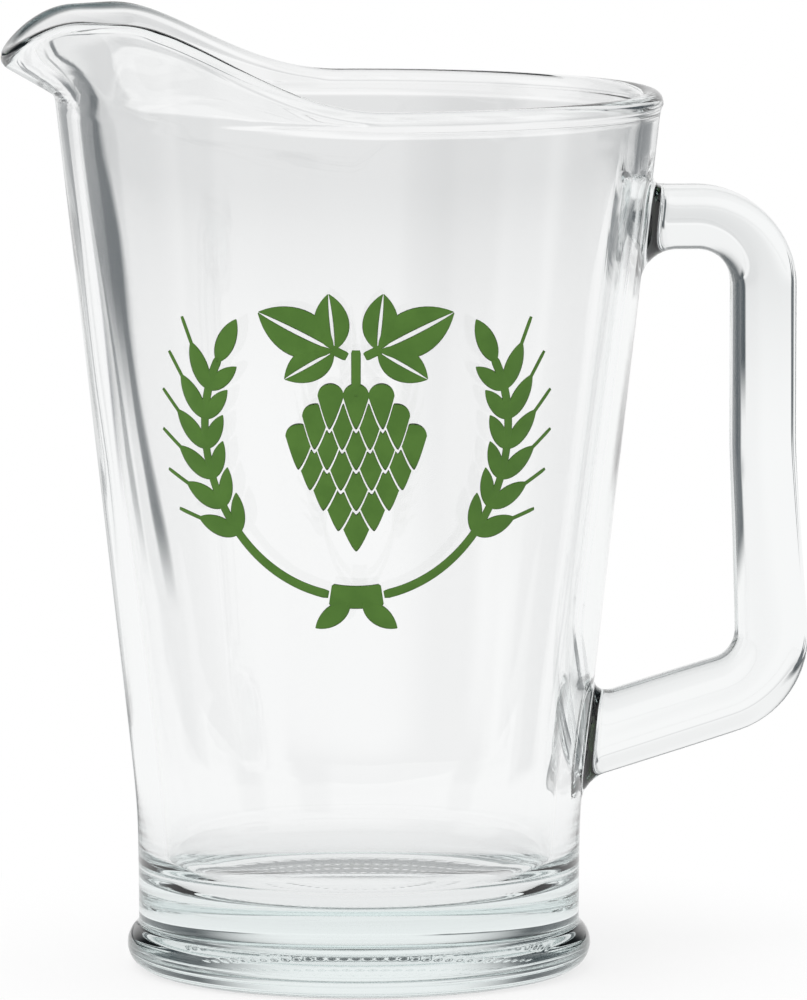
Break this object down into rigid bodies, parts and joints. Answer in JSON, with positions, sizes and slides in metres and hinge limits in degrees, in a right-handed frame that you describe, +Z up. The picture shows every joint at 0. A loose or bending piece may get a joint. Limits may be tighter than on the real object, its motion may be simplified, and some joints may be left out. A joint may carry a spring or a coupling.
{
  "type": "pitcher",
  "caption": "Tall conical clear-glass pitcher with a beaded foot, a pulled pouring spout, a closed loop handle and a one-colour green enamel print on its front wall.",
  "frame": {"origin": "on the bowl's axis at table height, just under the recessed middle of the underside", "axes": "+Z up along the bowl's axis, +X towards the handle, the spout points along -X and the print faces -Y"},
  "size_m": [0.1941, 0.146, 0.2309],
  "materials": {
    "clear_glass": "clear pressed glass, fire polished",
    "green_enamel": "fired screen-printed enamel, satin"
  },
  "bodies": {
    "root": {"bowl": "clear_glass", "handle": "clear_glass", "enamel_hop_cone": "green_enamel", "enamel_hop_leaf_left": "green_enamel", "enamel_hop_leaf_right": "green_enamel", "enamel_barley_left": "green_enamel", "enamel_barley_right": "green_enamel", "enamel_tie": "green_enamel"}
  },
  "joints": []
}
